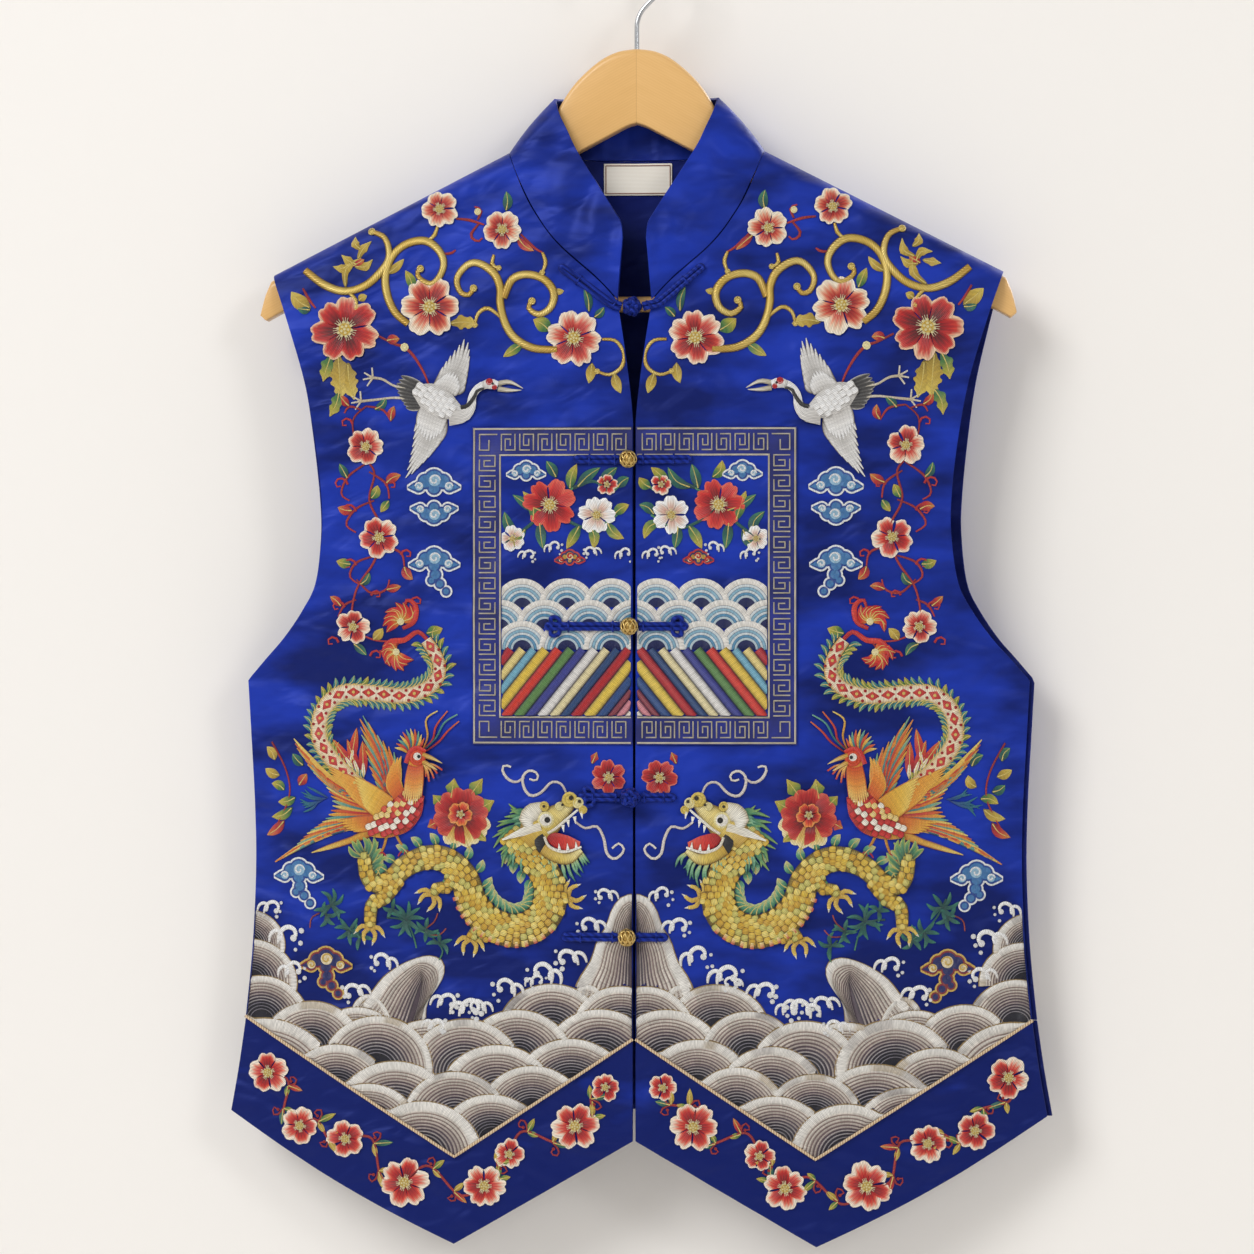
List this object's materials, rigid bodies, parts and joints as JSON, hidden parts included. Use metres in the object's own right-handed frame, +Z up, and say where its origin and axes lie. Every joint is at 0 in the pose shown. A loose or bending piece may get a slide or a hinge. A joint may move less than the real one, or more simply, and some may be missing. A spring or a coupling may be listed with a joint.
{
  "type": "chinese embroidered vest on a wooden hanger",
  "caption": "Sleeveless satin vest with a stand collar, cord closures and a pointed hem, hanging flat on a wooden hanger with a wire hook.",
  "frame": {"origin": "where a rail touches the underside of the hanger's hook", "axes": "+Z up along the vest's height, +X to the viewer's right along its width, +Y from the front to the back"},
  "size_m": [0.4919, 0.0629, 0.781],
  "materials": {
    "satin": "blue silk satin with soft puckers",
    "piping": "thin corded piping",
    "badge": "navy badge cloth, embroidered",
    "label": "woven cream tape",
    "cord": "rolled satin cord",
    "embroidery": "silk and gold thread in satin stitch and couching",
    "brass": "aged filigree",
    "beech": "clear satin varnish",
    "steel": "bright drawn wire"
  },
  "bodies": {
    "root": {"front_left": "satin", "front_right": "satin", "back": "satin", "collar": "satin", "hem_band_left": "satin", "hem_band_right": "satin", "hem_band_back": "satin", "piping_left": "piping", "piping_right": "piping", "badge_left": "badge", "badge_right": "badge", "neck_label": "label", "frog_1_left": "cord", "frog_1_right": "cord", "frog_2_left": "cord", "frog_2_right": "cord", "frog_3_left": "cord", "frog_3_right": "cord", "frog_4_left": "cord", "frog_4_right": "cord", "frog_5_left": "cord", "frog_5_right": "cord", "button_1": "cord", "button_2": "brass", "button_3": "brass", "button_4": "cord", "button_5": "brass", "hanger_wood": "beech", "hanger_bar": "beech", "hanger_hook": "steel"}
  },
  "joints": []
}
